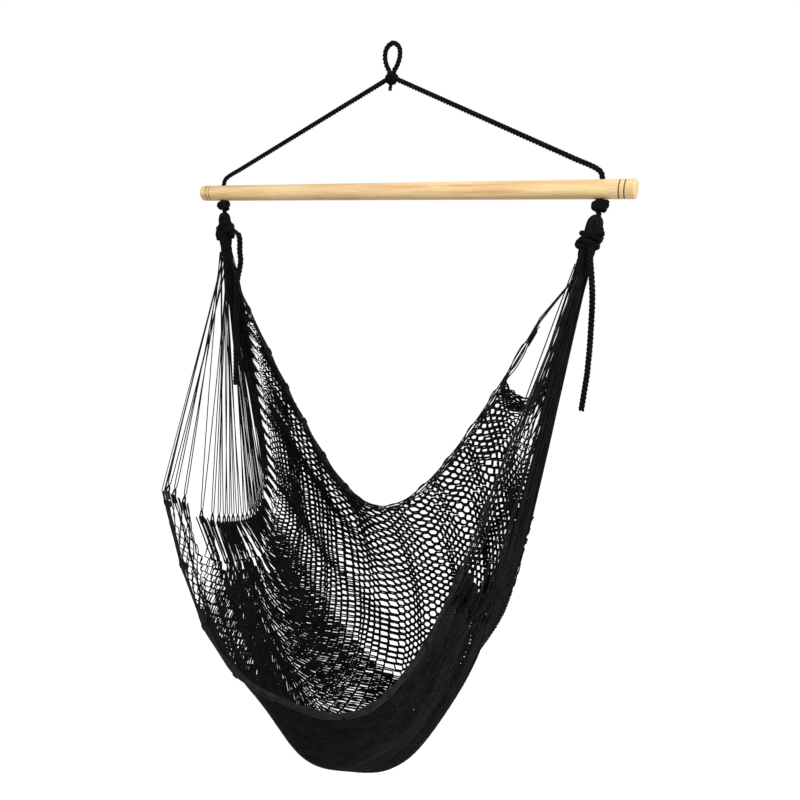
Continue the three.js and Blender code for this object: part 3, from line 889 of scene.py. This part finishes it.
def net_paths(numbers):
    """The centre line of every net string, the way out of the seat there, and where it is on the net."""
    columns, heights, rung_middles, _ = column_stations()
    across, down = net_places(numbers, columns)
    down = crowd(down, columns)
    loosen = 0.12 / NET_PERIODS * soft_noise(7, *down.shape, 1, 4)
    across = across + loosen * (1 - np.abs(columns)[None, :] ** 4)
    down, left_group, left_gather = gather_to_loops(down, columns, -1)
    down, right_group, right_gather = gather_to_loops(down, columns, 1)
    free = 1 - smoothstep(left_gather + right_gather, 0.45, 0.9)
    down = level_rungs(across, down, columns, rung_middles, free)
    down, swing = swing_strings(numbers, down, columns, heights, free)
    shown = down > NET_START * 0.6
    shown &= (numbers[:, None] >= -SIDE_STRINGS["right"]) | (columns[None, :] < 0)
    down = np.clip(down, 0.002, 0.998)
    _, along_girth, outward = seat_directions(across, down)
    points = seat_point(across, down)
    points += outward * (fold_offset(across, down) + swing * STRING_RADIUS * LEVEL_SHARE * 0.8)[..., None]
    # Where they gather, the strings of a loop are packed into a round bundle.
    packed = smoothstep(left_gather + right_gather, 0.25, 0.9)[..., None]
    for i in range(len(numbers)):
        for group, half in ((left_group, columns < 0), (right_group, columns >= 0)):
            rank = i - np.flatnonzero(group == group[i])[0]
            radius = BUNDLE_SPACING * math.sqrt(rank + 0.5)
            angle = GOLDEN_ANGLE * rank
            offset = radius * (math.cos(angle) * along_girth[i] + math.sin(angle) * outward[i])
            points[i, half] += (offset * packed[i])[half]
    return points, outward, shown, down


def string_radii(number, place, columns, turns):
    """A net string's radius at each column. Its place is where it crosses the seat's middle."""
    left = smoothstep(-columns, 0.05, 0.35) * smoothstep(place, 0.12, 0.25)
    radius = mix(STRING_RADIUS, LEFT_STRING_RADIUS, left) * mix(LEVEL_SHARE, TURN_SHARE, turns)
    radius = mix(radius, CLOSE_STRING_RADIUS, smoothstep(place, 0.38, 0.46))
    massed = smoothstep(place, 0.42, 0.46) * (1 - smoothstep(place, 0.62, 0.7))
    radius = mix(radius, MASSED_STRING_RADIUS, massed * smoothstep(-columns, 0.15, 0.45))
    taper = smoothstep(np.abs(columns), 0.72, 0.93)
    radius = mix(radius, END_STRING_RADIUS if number > 0 else LACE_STRING_RADIUS, taper)
    lace = smoothstep(place, 0.72, 0.86) * smoothstep(-columns, 0.4, 0.75)
    return mix(radius, LACE_STRING_RADIUS, lace)


def string_runs(number, place, shown, short):
    """The columns that a net string is drawn through, in one run or two."""
    middle = LEFT_PERIODS * PERIOD_STATIONS
    if number < 0:
        return [np.flatnonzero(shown[:middle]), middle + np.flatnonzero(shown[middle:])]
    # In front most strings stop short of the left end loops, where the photographed net is lacy.
    if place > LACY_START and number % (LACY_TURN if place < 0.84 else LACY_TURN + 2):
        first = int(mix(*SHORT_COLUMNS, smoothstep(place, LACY_START, 1))) + short
        return [np.arange(first, len(shown))]
    return [np.arange(len(shown))]


def make_net():
    numbers = string_numbers()
    points, outward, shown, down = net_paths(numbers)
    columns, _, _, turns = column_stations()
    short = np.random.default_rng(8).integers(0, 20, len(numbers))
    strings = []
    for i, number in enumerate(numbers):
        place = down[i, LEFT_PERIODS * PERIOD_STATIONS]
        radius = string_radii(number, place, columns, turns)
        for run in string_runs(number, place, shown[i], short[i]):
            if len(run) >= SHORTEST_RUN:
                strings.append((points[i, run], outward[i, run], radius[run]))
    for band in range(NET_BANDS):
        cords = Cords()
        for path, up, radius in strings[band::NET_BANDS]:
            cords.add(path, radius, STRING_SIDES, up)
        piece = cords.build("net_band_%d" % (band + 1), NET_COTTON)
        finish_piece(piece, "seat", "net", "net_body")


# End loops of the net and the arm strings hooked through them
def arm_root(side, share):
    """Where the arm strings of a place on the end line start, just above the whipping's end."""
    down, _, front = neck_axes(side)
    return stopper_centre(side) + down * ARM_START + front * -0.006 * (1 - 2 * share)


def side_places(side):
    if side > 0:
        return [place for place in LOOP_PLACES if place >= RIGHT_FIRST_LOOP]
    return LOOP_PLACES


def loop_frame(side, place):
    """An end loop's place, the ways up its strings and across its arch, and the way back to the net."""
    end = seat_point(side, place)
    up = unit(arm_root(side, place) - end)
    along, girth, _ = seat_directions(np.float64(side * 0.998), np.float64(place))
    flat = unit(girth - up * girth.dot(up))
    return end, up, flat, -side * along


def make_end_loops(name, side):
    cords = Cords()
    for place in side_places(side):
        end, up, flat, back = loop_frame(side, place)
        out = np.cross(up, flat)
        coil = []
        for i in range(LOOP_TURNS * COIL_STEPS + 1):
            angle = 2 * math.pi * i / COIL_STEPS
            station = mix(*LOOP_COIL_ENDS, i / (LOOP_TURNS * COIL_STEPS))
            ring = math.cos(angle) * flat + math.sin(angle) * out
            coil.append(end + back * station + LOOP_COIL_RADIUS * ring)
        cords.add(smooth_path(coil, 0.002), FINE_RADIUS, STRING_SIDES)
        arch = [end + back * LOOP_FOOT - ARCH_FOOT_HALF * flat]
        for i in range(COIL_STEPS + 1):
            angle = math.pi * i / COIL_STEPS
            height = ARCH_LOW + ARCH_RISE * math.sin(angle)
            arch.append(end + up * height - ARCH_HALF_WIDTH * math.cos(angle) * flat)
        arch.append(end + back * LOOP_FOOT + ARCH_FOOT_HALF * flat)
        cords.add(smooth_path(arch, 0.002), ARCH_RADIUS, EDGE_SIDES)
    finish_piece(cords.build("end_loops_" + name, NET_COTTON), "seat", "net")


def make_arm(name, side):
    cords = Cords()
    for number, place in enumerate(side_places(side)):
        end, up, flat, _ = loop_frame(side, place)
        root = arm_root(side, place)
        out = np.cross(up, flat)
        hooks = 3 if place < THREE_HOOKS_END else 2 if place < TWO_HOOKS_END else 1
        for hook in range(hooks):
            shift = (hook - (hooks - 1) / 2) * HOOK_SPACING
            bottom = end + up * HOOK_RISE + out * shift
            for leg in (-1, 1):
                angle = GOLDEN_ANGLE * (number * 6 + hook * 2 + (leg + 1) / 2)
                spot = 0.003 + 0.011 * ((number * 0.37 + hook * 0.5 + leg * 0.2) % 1)
                start = root + spot * (math.cos(angle) * flat + math.sin(angle) * out)
                low = bottom + up * 0.016 + flat * leg * 0.0036
                bow = mix(low, start, 0.45) + flat * leg * 0.0024 + out * shift
                foot = bottom + up * 0.003 + flat * leg * 0.0026
                cords.add(smooth_path([bottom, foot, low, bow, start], 0.012), FINE_RADIUS, STRING_SIDES)
    finish_piece(cords.build("arm_" + name, NET_COTTON), "seat", "rope", "arm_strings_" + name)


# Selvages
def edge_path(down, offset_girth, offset_out, columns):
    _, girth, outward = seat_directions(columns, np.full_like(columns, down))
    points = seat_point(columns, np.full_like(columns, down))
    return points + girth * offset_girth[:, None] + outward * offset_out[:, None]


def tie_shares(count):
    """The ties' middles, at the middles of the solids' own cord segments."""
    shares = []
    for i in range(count):
        share = mix(0.03, 0.97, i / (count - 1))
        shares.append((min(int(share * CAD_EDGE_STEPS), CAD_EDGE_STEPS - 1) + 0.5) / CAD_EDGE_STEPS)
    return np.array(shares)


def edge_columns(down, shares):
    """Places across for even shares of an edge's length."""
    fine = np.linspace(-1, 1, 801)
    length = travelled(seat_point(fine, np.full_like(fine, down)))
    return np.interp(shares, length / length[-1], fine)


def tie_path(down, share, turns, reach, tight, string_radius):
    """A thread wound round a selvage's strings, which lie just inside the seat's edge."""
    middle = edge_columns(down, [share])
    along, girth, outward = (ways[0] for ways in seat_directions(middle, np.full_like(middle, down)))
    inward = 1 if down < 0.5 else -1
    centre = seat_point(middle, np.full_like(middle, down))[0] + girth * inward * tight * 0.6
    coil = []
    for i in range(turns * COIL_STEPS + 1):
        angle = 2 * math.pi * i / COIL_STEPS
        station = mix(-reach, reach, i / (turns * COIL_STEPS))
        ring = 1.75 * tight * math.cos(angle) * girth + (tight + string_radius) * math.sin(angle) * outward
        coil.append(centre + along * station + ring)
    return smooth_path(coil, 0.0018)


def make_edge(name, down, tie_count, string_count, risers, tight, loose, radii):
    """A selvage: strings packed tight at the ties and loose between, the risers carried up to the arms.

    radii are the strings' radii near the ends and in the middle.
    """
    shares = np.linspace(0, 1, EDGE_STATIONS)
    radius = np.interp(shares, (0, 0.2, 0.36, 0.74, 0.88, 1), [radii[i] for i in (0, 0, 1, 1, 0, 0)])
    ties = tie_shares(tie_count)
    near = np.abs(shares[:, None] - ties[None, :]).min(axis=1)
    half_gap = (ties[1] - ties[0]) / 2
    open_share = smoothstep(near / half_gap, 0.08, 0.8)
    columns = edge_columns(down, shares)
    inward = 1 if down < 0.5 else -1
    cords = Cords()
    for i in range(string_count):
        rank = (i + 0.5) / string_count * 2 - 1
        angle = GOLDEN_ANGLE * i
        flat = mix(tight * math.cos(angle), loose * rank, open_share) * inward
        flat = flat + 0.0011 * open_share * np.sin(37 * shares + 2.1 * i)
        out = mix(tight * math.sin(angle), 0.0012 * math.sin(angle), open_share)
        path = edge_path(down, flat, out, columns)
        string_radius = radius
        if i < risers:
            string_radius = np.concatenate([radius[:3], radius, radius[-3:]])
            shares_up = np.array([[1.0], [0.66], [0.33]])
            first, last = arm_root(-1, down), arm_root(1, down)
            path = np.vstack([mix(path[:1], first, shares_up), path, mix(path[-1:], last, shares_up[::-1])])
        cords.add(path, string_radius, EDGE_SIDES)
    # The selvage strings take the cotton whose lighter base colours are painted sheen.
    piece = cords.build(name + "_selvage", EDGE_COTTON_PAINTED_SHEEN)
    finish_piece(piece, "seat", "edging", name + "_edge_cord")
    for number, share in enumerate(ties):
        # The back selvage's last tie is a long one.
        long_tie = name == "back" and number == tie_count - 1
        turns, reach = (LONG_TIE_TURNS, LONG_TIE_REACH) if long_tie else (TIE_TURNS, TIE_REACH)
        wrap = Cords()
        wrap.add(tie_path(down, share, turns, reach, tight, radii[1]), FINE_RADIUS, EDGE_SIDES)
        tie = wrap.build("%s_wrap_%d" % (name, number + 1), NET_COTTON)
        finish_piece(tie, "seat", "edging", "%s_edge_tie_%d" % (name, number + 1))


# Room and light
def make_room():
    mesh = bpy.data.meshes.new("floor")
    corners = [(x * FLOOR_HALF, y * FLOOR_HALF, 0) for x, y in ((-1, -1), (1, -1), (1, 1), (-1, 1))]
    mesh.from_pydata(corners, [], [(0, 1, 2, 3)])
    floor = bpy.data.objects.new("floor", mesh)
    floor.location = (0, 0, FLOOR_Z)
    bpy.context.scene.collection.objects.link(floor)
    material, tree, shader = new_material("floor_paint")
    shader.inputs["Base Color"].default_value = (0.9, 0.9, 0.9, 1)
    shader.inputs["Roughness"].default_value = 0.9
    shader.inputs["Emission Color"].default_value = (1, 1, 1, 1)
    camera_rays = tree.nodes.new("ShaderNodeLightPath")
    lift = math_node(tree, "MULTIPLY", FLOOR_LIFT)
    tree.links.new(camera_rays.outputs["Is Camera Ray"], lift.inputs[0])
    tree.links.new(lift.outputs[0], shader.inputs["Emission Strength"])
    mesh.materials.append(material)

    world = bpy.data.worlds.new("studio")
    bpy.context.scene.world = world
    world.use_nodes = True
    tree = world.node_tree
    nodes, link = tree.nodes, tree.links.new
    nodes.clear()
    out = nodes.new("ShaderNodeOutputWorld")
    background = nodes.new("ShaderNodeBackground")
    background.inputs["Color"].default_value = (1, 1, 1, 1)
    rays = nodes.new("ShaderNodeLightPath")
    seen = math_node(tree, "MAXIMUM")
    more = math_node(tree, "MULTIPLY_ADD", 1 - WORLD_LIGHT, WORLD_LIGHT)
    link(rays.outputs["Is Camera Ray"], seen.inputs[0])
    link(rays.outputs["Is Glossy Ray"], seen.inputs[1])
    link(seen.outputs[0], more.inputs[0])
    link(more.outputs[0], background.inputs["Strength"])
    link(background.outputs[0], out.inputs["Surface"])


def make_lamp(name, place, size, power, aim=(0, 0, -0.8)):
    data = bpy.data.lights.new(name, "AREA")
    data.size = size
    data.energy = power
    lamp = bpy.data.objects.new(name, data)
    place, aim = np.array(place, float), np.array(aim, float)
    back = unit(place - aim)
    right = unit(np.cross((0, 0, 1), back))
    up = np.cross(back, right)
    lamp.matrix_world = Matrix(
        [[right[i], up[i], back[i], place[i]] for i in range(3)] + [[0, 0, 0, 1]]
    )
    bpy.context.scene.collection.objects.link(lamp)


make_camera()
for side_name, side_sign in SIDES.items():
    make_tail(side_name, side_sign)
make_hanging_loop()
make_crown_knot()
for side_name, side_sign in SIDES.items():
    make_bridle(side_name, side_sign)
    make_stopper(side_name, side_sign)
    make_hitch(side_name, side_sign)
    make_eye(side_name, side_sign)
    make_end_loops(side_name, side_sign)
    make_arm(side_name, side_sign)
make_net()
make_edge(
    "back",
    down=0.0,
    tie_count=13,
    string_count=6,
    risers=4,
    tight=0.0044,
    loose=0.0135,
    radii=(0.0011, 0.0014),
)
make_edge(
    "front",
    down=1.0,
    tie_count=9,
    string_count=10,
    risers=3,
    tight=0.0045,
    loose=0.0105,
    radii=(0.001, 0.002),
)

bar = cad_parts["spreader_bar"]
bar.data.materials.clear()
bar.data.materials.append(BAR_WOOD)

make_room()
make_lamp("key", place=(2.1, -1.9, 1.2), size=1.4, power=98)
make_lamp("fill", place=(-2.2, -1.6, 0.4), size=2.0, power=4)

scene = bpy.context.scene
scene.view_settings.view_transform = "Standard"
